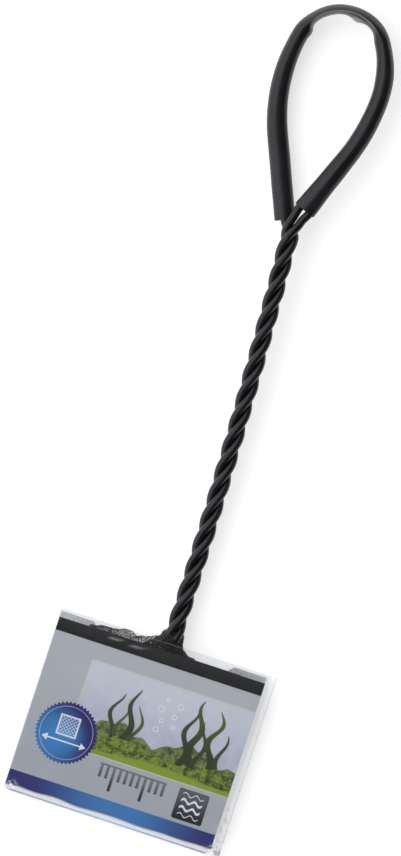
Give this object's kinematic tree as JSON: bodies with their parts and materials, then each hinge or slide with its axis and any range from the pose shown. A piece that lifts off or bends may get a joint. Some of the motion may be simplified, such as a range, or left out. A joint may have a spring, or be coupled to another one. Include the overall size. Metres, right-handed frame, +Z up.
{
  "type": "fish net",
  "caption": "Small square hand net for a fish tank, on a twisted wire handle with a looped grip, packed in a folded card and a clear film bag.",
  "frame": {"origin": "under the middle of the whole object, on the surface that it lies on", "axes": "+X across the net, +Y along the handle from the net towards the crook, +Z up, away from the surface"},
  "size_m": [0.0918, 0.3416, 0.0134],
  "materials": {
    "steel": "drawn steel wire",
    "wire_vinyl": "glossy black vinyl dip",
    "sleeve_vinyl": "black vinyl hose with a soft sheen",
    "hem_cloth": "black woven band, sewn",
    "netting": "fine black knitted mesh, matte",
    "card": "printed grey card, satin",
    "film": "clear glossy film"
  },
  "bodies": {
    "net": {"frame_core": "steel", "frame_coat": "wire_vinyl", "left_strand_core": "steel", "left_strand_coat": "wire_vinyl", "right_strand_core": "steel", "right_strand_coat": "wire_vinyl", "tail_strand_core": "steel", "tail_strand_coat": "wire_vinyl", "left_crook_core": "steel", "left_crook_coat": "wire_vinyl", "right_crook_core": "steel", "right_crook_coat": "wire_vinyl", "grip_sleeve": "sleeve_vinyl", "hem_band": "hem_cloth", "net_bag": "netting"},
    "card": {"card_sleeve": "card"},
    "bag": {"clear_bag": "film"}
  },
  "joints": [
    {"name": "card_slide", "type": "slide", "parent": "net", "child": "card", "axis": [0, -1, 0], "range_m": [0, 0.08]},
    {"name": "bag_slide", "type": "slide", "parent": "card", "child": "bag", "axis": [0, -1, 0], "range_m": [0, 0.08]}
  ]
}
